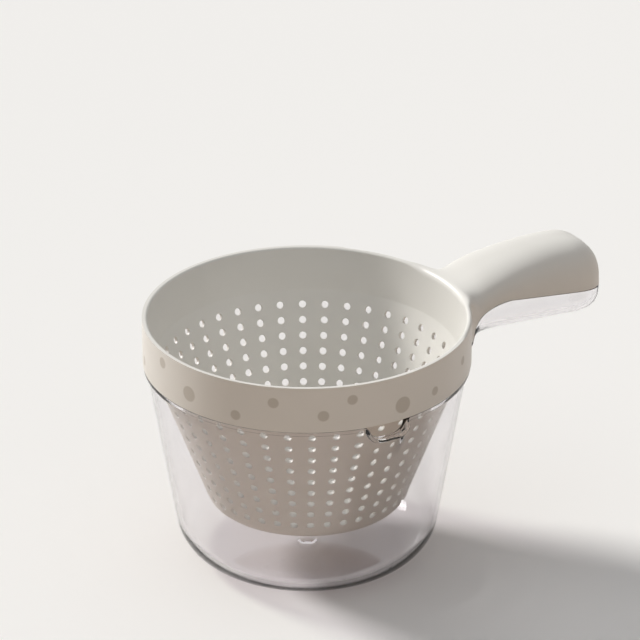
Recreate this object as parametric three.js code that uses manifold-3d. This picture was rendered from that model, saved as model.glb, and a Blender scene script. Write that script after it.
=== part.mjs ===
// Colander bowl: a white perforated colander that hangs by its band in a clear bowl with a pouring notch.
// The handle is two nested shells, one on each moulding, so the pair is held and tipped with one hand.
// Millimetres, +Z up. The origin is the centre of the bowl's base, the handle points along +X and the
// pouring notch faces -Y.
import * as THREE from 'three';
import { mergeGeometries, mergeVertices } from 'three/addons/utils/BufferGeometryUtils.js';
import Module from 'manifold-3d';

const wasm = await Module();
wasm.setup();

// Where the two mouldings meet
const SEAT_HEIGHT = 105.2;        // top of the bowl's rim above the table
const FIT_GAP = 0.3;              // between faces that meet when the colander sits in the bowl
const BASKET_CLEARANCE = 0.8;     // between the basket's mouth and the bowl's inner wall
const FLANGE_INSET = 0.4;         // outer edge of the bowl's flange inside the outer face of the band

// Colander
const BAND_RADIUS = 82;
const BAND_HEIGHT = 24;           // from the lower edge of the band to the top of the lip
const BAND_WALL = 2.2;            // skirt of the band
const LIP_THICKNESS = 2.8;        // of the rounded lip
const GROOVE_HEIGHT = 9;          // hollow between skirt and basket, open below
const CREASE_HEIGHT = 2;          // bend in the inner wall, above the lower edge of the band
const BASKET_LEAN = 20.5;         // degrees from vertical
const BASKET_WALL = 2;
const BASKET_DEPTH = 76;          // from the lower edge of the band to the underside of the floor
const BASKET_CORNER = 9;          // outside radius between floor and wall

// Drain holes
const HOLE_DIAMETER = 3.7;
const HOLE_COLUMNS = 40;
const FIRST_ROW = 6;              // from the lower edge of the band, along the wall
const ROW_PITCH = 8;              // along the wall
const FLOOR_RING_PITCH = 14;
const FLOOR_RING_HOLES = 8;       // in the first ring, and as many more in each further ring
const HOLE_MARGIN = 1;            // least plain wall between a hole and the rounded corner

// Clear bowl
const BOWL_LEAN = 9.5;            // degrees from vertical
const BOWL_WALL = 2.5;
const BOWL_BASE = 3.5;            // thickness of the base
const BOWL_CORNER = 23;           // outside radius between base and wall
const FLANGE_WIDTH = 1;           // how far the flange stands out from the wall
const FLANGE_HEIGHT = 2.2;
const PIP_DIAMETER = 10;          // gate mark in the middle of the base
const PIP_HEIGHT = 0.8;
const SPOUT_WIDTH = 20;
const SPOUT_DEPTH = 6.5;
const SPOUT_CORNER = 5.8;         // radius at the two lower corners of the notch
const SPOUT_LIP = 2;              // thickness of the lip round the notch
const SPOUT_REACH = 2.5;          // how far the lip stands out past the flange

// Handle, both shells together
const HANDLE_REACH = 165.7;       // from the axis to the tip
const HANDLE_WIDTH = 43;
const HANDLE_WALL = 2.2;
const HANDLE_CREST = 9.7;         // highest point of the handle above the lip
const HANDLE_CREST_REACH = 137;   // where that point lies, from the axis
const HANDLE_ROOT_DROP = 2;       // underside below the seat, at the band
const HANDLE_TIP_DROP = 4.6;      // underside below the seat, where the rounded end starts
const HANDLE_TIP = 22;            // length of the rounded end
const HANDLE_FILLET = 18;         // in plan, between the handle's sides and the band
const ROOT_SQUARENESS = 6;        // exponent of the section at the band, where 2 is an ellipse
const GRIP_SQUARENESS = 2.6;      // exponent of the section along the grip
const PARTING_RUN = 24;           // from the band to where the parting line has risen
const PARTING_RISE = 16.2;        // height of the parting line there, above the band's lower edge
const PARTING_TIP_RISE = 9.5;     // height of the parting line at the tip, above the band's lower edge

// Facets
const BOWL_SEGMENTS = 48;
const CORNER_STEPS = 4;
const LIP_STEPS = 4;
const HOLE_SIDES = 5;
const HOLE_TURN = 13;             // degrees from row to row, so that no three facet corners line up
const SECTION_POINTS = 18;
const FILLET_STEPS = 4;
const GRIP_STEPS = 5;
const TIP_STEPS = 5;
const PARTING_STEPS = 8;
const MERGE_DISTANCE = 1e-4;
const PAST = 5;                   // how far a cutting solid runs past what it cuts

// Heights and radii that follow from the sizes above
const BAND_EDGE = SEAT_HEIGHT + FIT_GAP;
const RIM_HEIGHT = BAND_EDGE + BAND_HEIGHT;
const CREASE = BAND_EDGE + CREASE_HEIGHT;
const BASKET_FLOOR = BAND_EDGE - BASKET_DEPTH;
const LIP_RADIUS = LIP_THICKNESS / 2;
const LIP_FOOT = RIM_HEIGHT - LIP_RADIUS;
const MOUTH_RADIUS = BAND_RADIUS - LIP_THICKNESS;
const FLANGE_RADIUS = BAND_RADIUS - FLANGE_INSET;
const HANDLE_HALF = HANDLE_WIDTH / 2;
const TIP_START = HANDLE_REACH - HANDLE_TIP;

const bowlMaterial = new THREE.MeshStandardMaterial({
  color: 0xe6e6ee, roughness: 0.05, metalness: 0, transparent: true, opacity: 0.35,
});
const colanderMaterial = new THREE.MeshStandardMaterial({ color: 0xe4e2dc, roughness: 0.42, metalness: 0 });

const radians = THREE.MathUtils.degToRad;

// Geometries put together, with nothing but their positions.
function joined(geometries) {
  return mergeGeometries(geometries.map((geometry) => {
    const bare = geometry.index ? geometry.toNonIndexed() : geometry.clone();
    bare.deleteAttribute('normal');
    bare.deleteAttribute('uv');
    return bare;
  }));
}

// A closed geometry as a solid that can be joined and cut.
function solid(geometry) {
  const merged = mergeVertices(joined([geometry]), MERGE_DISTANCE);
  const index = merged.index.array;
  const triangles = [];
  for (let i = 0; i < index.length; i += 3) {
    const [a, b, c] = [index[i], index[i + 1], index[i + 2]];
    if (a !== b && b !== c && c !== a) triangles.push(a, b, c);
  }
  return new wasm.Manifold(new wasm.Mesh({
    numProp: 3,
    vertProperties: new Float32Array(merged.attributes.position.array),
    triVerts: new Uint32Array(triangles),
  }));
}

// A finished solid as a named mesh.
function piece(name, body, material) {
  const { vertProperties, triVerts } = body.getMesh();
  const geometry = new THREE.BufferGeometry();
  geometry.setAttribute('position', new THREE.BufferAttribute(new Float32Array(vertProperties), 3));
  geometry.setIndex(new THREE.BufferAttribute(new Uint32Array(triVerts), 1));
  geometry.computeVertexNormals();
  const mesh = new THREE.Mesh(geometry, material);
  mesh.name = name;
  return mesh;
}

// A profile of [radius, height] points turned about Z, with the middle of a facet on +X.
function turned(profile, segments) {
  const points = profile.map(([radius, height]) => new THREE.Vector2(radius, height));
  return new THREE.LatheGeometry(points, segments, Math.PI / segments).rotateX(Math.PI / 2);
}

function revolve(profile, segments) {
  return solid(turned(profile, segments));
}

// Points on an arc, angles in degrees.
function arc(centreX, centreY, radius, from, to, steps) {
  const points = [];
  for (let i = 0; i <= steps; i += 1) {
    const angle = radians(from + (to - from) * i / steps);
    points.push([centreX + radius * Math.cos(angle), centreY + radius * Math.sin(angle)]);
  }
  return points;
}

// A leaning wall, given by its radius at one height.
function leaningWall(radius, height, lean) {
  const slope = Math.tan(radians(lean));
  const radiusAt = (z) => radius + (z - height) * slope;
  const inside = (wall) => leaningWall(radius - wall / Math.cos(radians(lean)), height, lean);
  const cornerArc = (floor, corner) => {
    const centreZ = floor + corner;
    const centreR = radiusAt(centreZ) - corner / Math.cos(radians(lean));
    return arc(centreR, centreZ, corner, -90, -lean, CORNER_STEPS);
  };
  return { radiusAt, inside, cornerArc };
}

const bowlWall = leaningWall(FLANGE_RADIUS - FLANGE_WIDTH, SEAT_HEIGHT, BOWL_LEAN);
const bowlInner = bowlWall.inside(BOWL_WALL);
const basketMouth = bowlInner.radiusAt(SEAT_HEIGHT) - BASKET_CLEARANCE;
const basketWall = leaningWall(basketMouth, BAND_EDGE, BASKET_LEAN);
const basketInner = basketWall.inside(BASKET_WALL);
const basketCorner = basketWall.cornerArc(BASKET_FLOOR, BASKET_CORNER);
const basketInnerCorner = basketInner.cornerArc(BASKET_FLOOR + BASKET_WALL, BASKET_CORNER - BASKET_WALL);

// Everything inside the bowl's inner surface, up to a height above its rim.
function bowlHollow() {
  const top = SEAT_HEIGHT + PAST;
  return revolve([
    [0, BOWL_BASE],
    ...bowlInner.cornerArc(BOWL_BASE, BOWL_CORNER - BOWL_WALL),
    [bowlInner.radiusAt(top), top],
    [0, top],
  ], BOWL_SEGMENTS);
}

// Base, wall and rim flange, turned in one piece, with the gate mark on the inside of the base.
function bowlBody() {
  const flangeFoot = SEAT_HEIGHT - FLANGE_HEIGHT;
  const innerCorner = bowlInner.cornerArc(BOWL_BASE, BOWL_CORNER - BOWL_WALL).reverse();
  return revolve([
    [0, 0],
    ...bowlWall.cornerArc(0, BOWL_CORNER),
    [bowlWall.radiusAt(flangeFoot), flangeFoot],
    [FLANGE_RADIUS, flangeFoot],
    [FLANGE_RADIUS, SEAT_HEIGHT],
    [bowlInner.radiusAt(SEAT_HEIGHT), SEAT_HEIGHT],
    ...innerCorner,
    [PIP_DIAMETER / 2, BOWL_BASE],
    [PIP_DIAMETER / 2 - PIP_HEIGHT, BOWL_BASE + PIP_HEIGHT],
    [0, BOWL_BASE + PIP_HEIGHT],
  ], BOWL_SEGMENTS);
}

// The U of the pouring notch, grown by an offset and run from one radius to another towards -Y.
function notch(offset, top, fromRadius, toRadius) {
  const half = SPOUT_WIDTH / 2 + offset;
  const corner = Math.min(SPOUT_CORNER, 0.9 * SPOUT_DEPTH) + offset;
  const floor = SEAT_HEIGHT - SPOUT_DEPTH - offset;
  const outline = [
    [half, top],
    [-half, top],
    ...arc(-half + corner, floor + corner, corner, 180, 270, CORNER_STEPS),
    ...arc(half - corner, floor + corner, corner, 270, 360, CORNER_STEPS),
  ];
  const shape = new THREE.Shape(outline.map(([x, z]) => new THREE.Vector2(x, z)));
  const geometry = new THREE.ExtrudeGeometry(shape, { depth: toRadius - fromRadius, bevelEnabled: false });
  return solid(geometry.rotateX(Math.PI / 2).translate(0, -fromRadius, 0));
}

// Half-width of the handle at a distance from the axis: fillet at the band, straight sides, rounded end.
const filletCentreY = HANDLE_HALF + HANDLE_FILLET;
const filletCentreX = Math.sqrt((BAND_RADIUS + HANDLE_FILLET) ** 2 - filletCentreY ** 2);
const filletFoot = filletCentreX * BAND_RADIUS / (BAND_RADIUS + HANDLE_FILLET);

function handleHalfWidth(reach) {
  if (reach >= filletCentreX) return HANDLE_HALF;
  const along = filletCentreX - Math.max(reach, filletFoot);
  return filletCentreY - Math.sqrt(HANDLE_FILLET ** 2 - along ** 2);
}

// Height of the handle's top, an arch that leaves the lip level and is highest at its crest.
function handleTop(reach) {
  const share = (HANDLE_CREST_REACH - reach) / (HANDLE_CREST_REACH - BAND_RADIUS);
  return RIM_HEIGHT + HANDLE_CREST * (1 - Math.min(share * share, 1));
}

// Height of the handle's underside, a straight line that falls towards the tip.
function handleUnderside(reach) {
  const share = (reach - BAND_RADIUS) / (TIP_START - BAND_RADIUS);
  return SEAT_HEIGHT - THREE.MathUtils.lerp(HANDLE_ROOT_DROP, HANDLE_TIP_DROP, share);
}

// One closed section of the handle: a rounded box that is squarer at the band than at the grip.
function handleSection(reach, shrink, inset) {
  const blend = THREE.MathUtils.smoothstep(reach, filletFoot, filletCentreX + HANDLE_FILLET);
  const power = 2 / THREE.MathUtils.lerp(ROOT_SQUARENESS, GRIP_SQUARENESS, blend);
  const underside = handleUnderside(reach);
  const halfHeight = (handleTop(reach) - underside) / 2;
  const centre = underside + halfHeight;
  const wide = handleHalfWidth(reach) * shrink - inset;
  const high = halfHeight * shrink - inset;
  const ring = [];
  for (let i = 0; i < SECTION_POINTS; i += 1) {
    const angle = 2 * Math.PI * i / SECTION_POINTS;
    const [c, s] = [Math.cos(angle), Math.sin(angle)];
    const y = wide * Math.sign(c) * Math.abs(c) ** power;
    const z = centre + high * Math.sign(s) * Math.abs(s) ** power;
    ring.push([reach, y, z]);
  }
  return ring;
}

// The whole handle as one solid, its surface moved inwards by an inset.
function handleSolid(inset) {
  const rings = [handleSection(filletFoot - PAST, 1, inset)];
  for (let i = 0; i <= FILLET_STEPS; i += 1) {
    rings.push(handleSection(THREE.MathUtils.lerp(filletFoot, filletCentreX, i / FILLET_STEPS), 1, inset));
  }
  for (let i = 1; i <= GRIP_STEPS; i += 1) {
    rings.push(handleSection(THREE.MathUtils.lerp(filletCentreX, TIP_START, i / GRIP_STEPS), 1, inset));
  }
  for (let i = 1; i < TIP_STEPS; i += 1) {
    const angle = Math.PI / 2 * i / TIP_STEPS;
    const shrink = Math.cos(angle) ** (2 / GRIP_SQUARENESS);
    const reach = TIP_START + (HANDLE_TIP - inset) * Math.sin(angle) ** (2 / GRIP_SQUARENESS);
    rings.push(handleSection(reach, shrink, inset * shrink));
  }
  return loft(rings, HANDLE_REACH - inset);
}

// Rings of equal count joined into a solid, flat at the first ring and closed to a point past the last.
function loft(rings, tipReach) {
  const count = rings[0].length;
  const positions = rings.flat(2);
  const index = [];
  for (let r = 0; r + 1 < rings.length; r += 1) {
    for (let i = 0; i < count; i += 1) {
      const a = r * count + i;
      const b = r * count + (i + 1) % count;
      index.push(a, b, b + count, a, b + count, a + count);
    }
  }
  const last = (rings.length - 1) * count;
  const middle = (ring) => ring.reduce((sum, point) => sum + point[2], 0) / count;
  const foot = positions.length / 3;
  positions.push(rings[0][0][0], 0, middle(rings[0]));
  positions.push(tipReach, 0, middle(rings.at(-1)));
  for (let i = 0; i < count; i += 1) {
    const next = (i + 1) % count;
    index.push(foot, next, i, foot + 1, last + i, last + next);
  }
  const geometry = new THREE.BufferGeometry();
  geometry.setAttribute('position', new THREE.Float32BufferAttribute(positions, 3));
  geometry.setIndex(index);
  return solid(geometry);
}

// Everything below the parting line of the two handle shells, seen from the side and run across the handle.
function belowParting(lower) {
  const peakX = BAND_RADIUS + PARTING_RUN;
  const tipX = HANDLE_REACH + PAST;
  const curve = [];
  for (let i = 0; i <= PARTING_STEPS; i += 1) {
    const angle = Math.PI / 2 * i / PARTING_STEPS;
    curve.push([peakX - PARTING_RUN * Math.cos(angle), BAND_EDGE + PARTING_RISE * Math.sin(angle) - lower]);
  }
  const outline = [
    [0, -PAST],
    [tipX, -PAST],
    [tipX, BAND_EDGE + PARTING_TIP_RISE - lower],
    ...curve.reverse(),
    [0, BAND_EDGE - lower],
  ];
  const shape = new THREE.Shape(outline.map(([x, z]) => new THREE.Vector2(x, z)));
  const geometry = new THREE.ExtrudeGeometry(shape, { depth: 2 * BAND_RADIUS, bevelEnabled: false });
  return solid(geometry.rotateX(Math.PI / 2).translate(0, BAND_RADIUS, 0));
}

// Clear bowl with its pouring notch and the lower handle shell.
function buildBowl(handleShell) {
  const bandRoom = revolve([
    [0, SEAT_HEIGHT],
    [BAND_RADIUS + FIT_GAP, SEAT_HEIGHT],
    [BAND_RADIUS + FIT_GAP, RIM_HEIGHT + PAST],
    [0, RIM_HEIGHT + PAST],
  ], HOLE_COLUMNS);
  const lipEnd = FLANGE_RADIUS + SPOUT_REACH;
  const lip = notch(SPOUT_LIP, SEAT_HEIGHT, bowlInner.radiusAt(0), lipEnd);
  const lowerShell = handleShell.intersect(belowParting(FIT_GAP)).subtract(bandRoom);
  const additions = lip.add(lowerShell).subtract(bowlHollow());
  return bowlBody().add(additions)
    .subtract(notch(0, SEAT_HEIGHT + PAST, bowlInner.radiusAt(0), lipEnd + PAST));
}

// One flat facet of the basket's wall: the outline of its face and of its column of holes, as points
// [across, height], and the place of such a point on the facet's plane.
function basketFacet(wall, foot, facet) {
  const half = Math.PI / HOLE_COLUMNS;
  const turn = half + (facet + 0.5) * (1 / HOLE_COLUMNS) * (Math.PI * 2);
  const outline = [[-1, foot], [1, foot], [1, CREASE], [-1, CREASE]]
    .map(([side, height]) => [side * wall.radiusAt(height) * Math.sin(half), height]);
  const place = ([across, height]) => {
    const apothem = wall.radiusAt(height) * Math.cos(half);
    return [
      apothem * Math.sin(turn) + across * Math.cos(turn),
      across * Math.sin(turn) - apothem * Math.cos(turn),
      height,
    ];
  };
  return { outline, place };
}

// The outlines of one column of holes where they leave the wall, at a distance from its middle surface.
// The column has as many rows as the straight wall takes.
function holeColumn(fromMiddle) {
  const lean = radians(BASKET_LEAN);
  const wallLength = (BAND_EDGE - basketInnerCorner.at(-1)[1]) / Math.cos(lean);
  const lastRow = wallLength - HOLE_MARGIN - HOLE_DIAMETER / 2;
  const outlines = [];
  for (let along = FIRST_ROW; along <= lastRow; along += ROW_PITCH) {
    const middle = BAND_EDGE - along * Math.cos(lean) - fromMiddle * Math.sin(lean);
    const turn = HOLE_TURN * outlines.length;
    const outline = arc(0, 0, HOLE_DIAMETER / 2, turn, turn + 360, HOLE_SIDES).slice(0, -1);
    outlines.push(outline.map(([across, up]) => [across, middle + up * Math.cos(lean)]));
  }
  return outlines;
}

// Triangles that fill an outline and leave its holes open, all counter-clockwise.
function fill(outline, holes) {
  const vectors = (points) => points.map(([x, y]) => new THREE.Vector2(x, y));
  const points = [...outline, ...holes.flat()];
  const faces = THREE.ShapeUtils.triangulateShape(vectors(outline), holes.map(vectors));
  return faces.map((face) => {
    const corners = face.map((i) => points[i]);
    return THREE.ShapeUtils.area(vectors(corners)) > 0 ? corners : corners.reverse();
  });
}

// The basket's wall: flat facets, each with a column of holes, its inner and outer face joined by the holes.
function perforatedWall() {
  const outerHoles = holeColumn(BASKET_WALL / 2);
  const innerHoles = holeColumn(-BASKET_WALL / 2);
  const positions = [];
  for (let facet = 0; facet < HOLE_COLUMNS; facet += 1) {
    const outer = basketFacet(basketWall, basketCorner.at(-1)[1], facet);
    const inner = basketFacet(basketInner, basketInnerCorner.at(-1)[1], facet);
    for (const corners of fill(outer.outline, outerHoles)) {
      positions.push(...corners.map(outer.place));
    }
    for (const corners of fill(inner.outline, innerHoles)) {
      positions.push(...corners.map(inner.place).reverse());
    }
    for (let row = 0; row < outerHoles.length; row += 1) {
      for (let i = 0; i < HOLE_SIDES; i += 1) {
        const next = (i + 1) % HOLE_SIDES;
        const [a, b] = [outer.place(outerHoles[row][i]), outer.place(outerHoles[row][next])];
        const [c, d] = [inner.place(innerHoles[row][i]), inner.place(innerHoles[row][next])];
        positions.push(a, b, d, a, d, c);
      }
    }
  }
  const geometry = new THREE.BufferGeometry();
  geometry.setAttribute('position', new THREE.Float32BufferAttribute(positions.flat(), 3));
  return geometry;
}

// Band, basket and floor: turned above and below the wall, faceted along it.
function colanderBody() {
  const grooveTop = BAND_EDGE + GROOVE_HEIGHT;
  const creaseRadius = basketInner.radiusAt(CREASE);
  const wallAtGroove = THREE.MathUtils.mapLinear(grooveTop, CREASE, LIP_FOOT, creaseRadius, MOUTH_RADIUS);
  const band = turned([
    [basketWall.radiusAt(CREASE), CREASE],
    [wallAtGroove + BASKET_WALL, grooveTop],
    [BAND_RADIUS - BAND_WALL, grooveTop],
    [BAND_RADIUS - BAND_WALL, BAND_EDGE],
    [BAND_RADIUS, BAND_EDGE],
    ...arc(BAND_RADIUS - LIP_RADIUS, LIP_FOOT, LIP_RADIUS, 0, 180, LIP_STEPS),
    [creaseRadius, CREASE],
  ], HOLE_COLUMNS);
  const underside = turned([[0, BASKET_FLOOR], ...basketCorner], HOLE_COLUMNS);
  const inside = turned([...basketInnerCorner.toReversed(), [0, BASKET_FLOOR + BASKET_WALL]], HOLE_COLUMNS);
  return solid(joined([band, underside, inside, perforatedWall()]));
}

// Everything inside the middle of the band's skirt, for trimming the handle where it grows out of the band.
function insideBand() {
  const radius = BAND_RADIUS - BAND_WALL / 2;
  const bottom = BAND_EDGE - PAST;
  const top = RIM_HEIGHT + HANDLE_CREST + PAST;
  return revolve([[0, bottom], [radius, bottom], [radius, top], [0, top]], HOLE_COLUMNS);
}

// Rings of drills through the basket's floor, as many rings as its flat part takes.
function floorHoles() {
  const drills = [];
  const radius = HOLE_DIAMETER / 2;
  const lastRing = basketCorner[0][0] - HOLE_MARGIN - radius;
  for (let ring = FLOOR_RING_PITCH; ring <= lastRing; ring += FLOOR_RING_PITCH) {
    const holes = FLOOR_RING_HOLES * Math.round(ring / FLOOR_RING_PITCH);
    for (let i = 0; i < holes; i += 1) {
      const drill = new THREE.CylinderGeometry(radius, radius, 3 * BASKET_WALL, HOLE_SIDES)
        .rotateX(Math.PI / 2)
        .translate(ring, 0, BASKET_FLOOR + BASKET_WALL / 2)
        .rotateZ(2 * Math.PI * i / holes);
      drills.push(drill);
    }
  }
  return solid(joined(drills));
}

// White colander: turned body, upper handle shell and drain holes.
function buildColander(handleShell) {
  const upperShell = handleShell.subtract(belowParting(0)).subtract(insideBand());
  return colanderBody().add(upperShell).subtract(floorHoles());
}

const handleShell = handleSolid(0).subtract(handleSolid(HANDLE_WALL));
const colanderBowl = new THREE.Group();
colanderBowl.add(piece('clear_bowl', buildBowl(handleShell), bowlMaterial));
colanderBowl.add(piece('colander', buildColander(handleShell), colanderMaterial));

export default colanderBowl;
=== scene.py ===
"""Looks of the colander bowl: a white perforated colander that hangs by its band in a clear pouring bowl.

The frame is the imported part's own: +Z up, the handle along +X and the pouring notch towards -Y. Sizes are
written in millimetres, and meshes are turned into metres when they are made.
"""
import logging
import math
from dataclasses import dataclass
from enum import Enum
from typing import Sequence

import bmesh
import bpy
import numpy as np
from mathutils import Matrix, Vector


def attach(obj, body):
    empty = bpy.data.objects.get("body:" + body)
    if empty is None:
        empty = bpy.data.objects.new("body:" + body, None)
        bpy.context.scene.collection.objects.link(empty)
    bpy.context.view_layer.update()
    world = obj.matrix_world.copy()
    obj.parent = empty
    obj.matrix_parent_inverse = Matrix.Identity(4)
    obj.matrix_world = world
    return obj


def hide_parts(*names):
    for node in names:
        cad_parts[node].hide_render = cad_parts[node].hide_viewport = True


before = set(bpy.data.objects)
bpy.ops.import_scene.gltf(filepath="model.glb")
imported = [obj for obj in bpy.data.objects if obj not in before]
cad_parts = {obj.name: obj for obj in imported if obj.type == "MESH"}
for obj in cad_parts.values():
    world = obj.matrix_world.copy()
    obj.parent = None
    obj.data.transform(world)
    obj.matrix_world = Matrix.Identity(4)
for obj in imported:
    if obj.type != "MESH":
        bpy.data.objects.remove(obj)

MM = 0.001
WELD = 2e-6
SLACK = 1e-9
TINY = 1e-12
TURN = 2 * math.pi
RIGHT_ANGLE = math.pi / 2
SHARP_ANGLE = math.radians(40)
ELLIPSE = 2.0
MIRROR = np.array([1.0, -1.0])
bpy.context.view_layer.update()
Array = np.ndarray
Material = bpy.types.Material
Object = bpy.types.Object
Socket = bpy.types.NodeSocket
Tree = bpy.types.NodeTree
Colour = tuple[float, float, float]
Place = tuple[float, float, float]
Span = tuple[float, float]
log = logging.getLogger("colander_bowl")


class WallSide(Enum):
    """The two faces of a thin wall, as the direction from its middle surface."""

    INSIDE = -1
    OUTSIDE = 1


class LampKind(Enum):
    """The two kinds of light: one from far away, and one from a panel nearby."""

    DISTANT = "SUN"
    PANEL = "AREA"


def smoothstep(value: Array, low: float, high: float) -> Array:
    """Returns 0 below low, 1 above high, and an even S between them."""
    share = np.clip((value - low) / (high - low), 0.0, 1.0)
    return share * share * (3.0 - 2.0 * share)


def mix(low: Array, high: Array, share: Array) -> Array:
    """Returns the value between low and high at a share of the way."""
    return low + (high - low) * share


def polar(angle: Array, radius: Array) -> Array:
    """Returns plan points at angles and radii about the bowl's axis."""
    return np.stack([radius * np.cos(angle), radius * np.sin(angle)], axis=-1)


def quarter(rows: int) -> Array:
    """Returns angles from 0 to a right angle, evenly spaced."""
    return np.linspace(0, RIGHT_ANGLE, rows)


def round_about(count: int) -> Array:
    """Returns a count of angles, evenly spaced all the way round."""
    return TURN * np.arange(count) / count


def steps_between(count: int) -> Array:
    """Returns the even steps between 0 and 1, without both ends."""
    return np.arange(1, count) / count


def run_length(line: Array) -> Array:
    """Returns the distance along a line of points at each of them."""
    return np.concatenate([[0], np.cumsum(np.linalg.norm(np.diff(line, axis=0), axis=1))])


def mirrored(half: Array, flip: Array | float = 1.0) -> Array:
    """Returns values for both sides of the handle from those of one side, which start at the tip."""
    return np.concatenate([(half * flip)[::-1], half[1:]])


def shoulder(inset: Array, width: Array, squareness: Array) -> Array:
    """How far below its top a rounded shoulder lies, as a share of its height.

    Args:
        inset: Distance inwards from the outline.
        width: Distance over which the shoulder rounds off.
        squareness: Exponent of the rounding, 2 for an ellipse.

    Returns:
        1 at the outline, 0 where the rounding has ended.
    """
    rest = 1.0 - np.clip(inset / width, 0.0, 1.0)
    return 1.0 - np.power(np.clip(1.0 - np.power(rest, squareness), 0.0, 1.0), 1.0 / squareness)


def put(name: str, data: bpy.types.ID) -> Object:
    """Puts a mesh, a light or a camera into the scene.

    Args:
        name: Name of the new object.
        data: What it shows.

    Returns:
        The object.
    """
    made = bpy.data.objects.new(name, data)
    bpy.context.scene.collection.objects.link(made)
    return made


class Skin:
    """Points and faces of one mesh while it is made, in millimetres."""

    def __init__(self) -> None:
        """Starts with nothing in it."""
        self.points: list[Array] = []
        self.faces: list[tuple[int, ...]] = []
        self.count = 0

    def ring(self, plan: Array, height: Array) -> Array:
        """Adds points given by plan and height.

        Args:
            plan: Points seen from above, one row each.
            height: One height, or one for each point.

        Returns:
            The indices of the new points.
        """
        heights = np.broadcast_to(np.asarray(height, dtype=float), (len(plan),))
        self.points.append(np.column_stack([plan, heights]))
        self.count += len(plan)
        return np.arange(self.count - len(plan), self.count)

    def circle(self, angle: Array, radius: Array, height: Array) -> Array:
        """Adds points given by angle, radius and height, and returns their indices."""
        return self.ring(polar(angle, radius), height)

    def bridge(self, low: Array, high: Array, closed: bool = True) -> None:
        """Joins two rows of equally many points with four-sided faces.

        Args:
            low: Indices of the first row.
            high: Indices of the second row.
            closed: Whether the rows run all the way round.
        """
        last = len(low) if closed else len(low) - 1
        for i in range(last):
            j = (i + 1) % len(low)
            self.faces.append((low[i], low[j], high[j], high[i]))

    def stack(self, rows: Sequence[Array], closed: bool = True) -> None:
        """Joins each row of points to the next."""
        for low, high in zip(rows, rows[1:]):
            self.bridge(low, high, closed)

    def lace(self, low: Array, low_angle: Array, high: Array, high_angle: Array) -> None:
        """Joins two closed rings of unequal counts with triangles, stepping on the ring that is behind.

        Args:
            low: Indices of the first ring, by rising angle.
            low_angle: Its angles, within one turn.
            high: Indices of the second ring, by rising angle.
            high_angle: Its angles, within one turn.
        """
        low, low_angle = self.from_lowest(low, low_angle)
        high, high_angle = self.from_lowest(high, high_angle)
        i = j = 0
        while i < len(low) - 1 or j < len(high) - 1:
            if i < len(low) - 1 and (j == len(high) - 1 or low_angle[i + 1] <= high_angle[j + 1]):
                self.faces.append((low[i], low[i + 1], high[j]))
                i += 1
            else:
                self.faces.append((low[i], high[j + 1], high[j]))
                j += 1

    @staticmethod
    def from_lowest(ring: Array, angle: Array) -> tuple[Array, Array]:
        """Starts a closed ring at its lowest angle.

        Args:
            ring: Its indices.
            angle: Its angles.

        Returns:
            The indices and the angles in their new order, with the first point again at the end.
        """
        turned = np.mod(np.asarray(angle) + math.pi, TURN)
        start = int(np.argmin(turned))
        order = np.concatenate([np.arange(start, len(ring)), np.arange(start)])
        rising = np.maximum.accumulate(turned[order])
        return np.append(ring[order], ring[start]), np.append(rising, rising[0] + TURN)

    def fan(self, ring: Array, height: float) -> None:
        """Closes a ring to a point on the axis.

        Args:
            ring: Its indices.
            height: Height of the point.
        """
        centre = self.ring(np.zeros((1, 2)), height)[0]
        for i in range(len(ring)):
            self.faces.append((ring[i], ring[(i + 1) % len(ring)], centre))

    def build(self, name: str) -> Object:
        """Makes the mesh object, welded, with outward normals and smooth shading.

        Args:
            name: Name of the piece.

        Returns:
            The new object, in the scene and in metres.
        """
        mesh = bpy.data.meshes.new(name)
        points = np.concatenate(self.points) * MM
        mesh.from_pydata(points.tolist(), [], [tuple(map(int, face)) for face in self.faces])
        work = bmesh.new()
        work.from_mesh(mesh)
        bmesh.ops.remove_doubles(work, verts=work.verts, dist=WELD)
        bmesh.ops.dissolve_degenerate(work, edges=work.edges, dist=WELD)
        bmesh.ops.recalc_face_normals(work, faces=work.faces)
        work.to_mesh(mesh)
        work.free()
        mesh.shade_smooth()
        mesh.set_sharp_from_angle(angle=SHARP_ANGLE)
        piece = put(name, mesh)
        piece.modifiers.new("even_shading", "WEIGHTED_NORMAL").keep_sharp = True
        return piece


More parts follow.
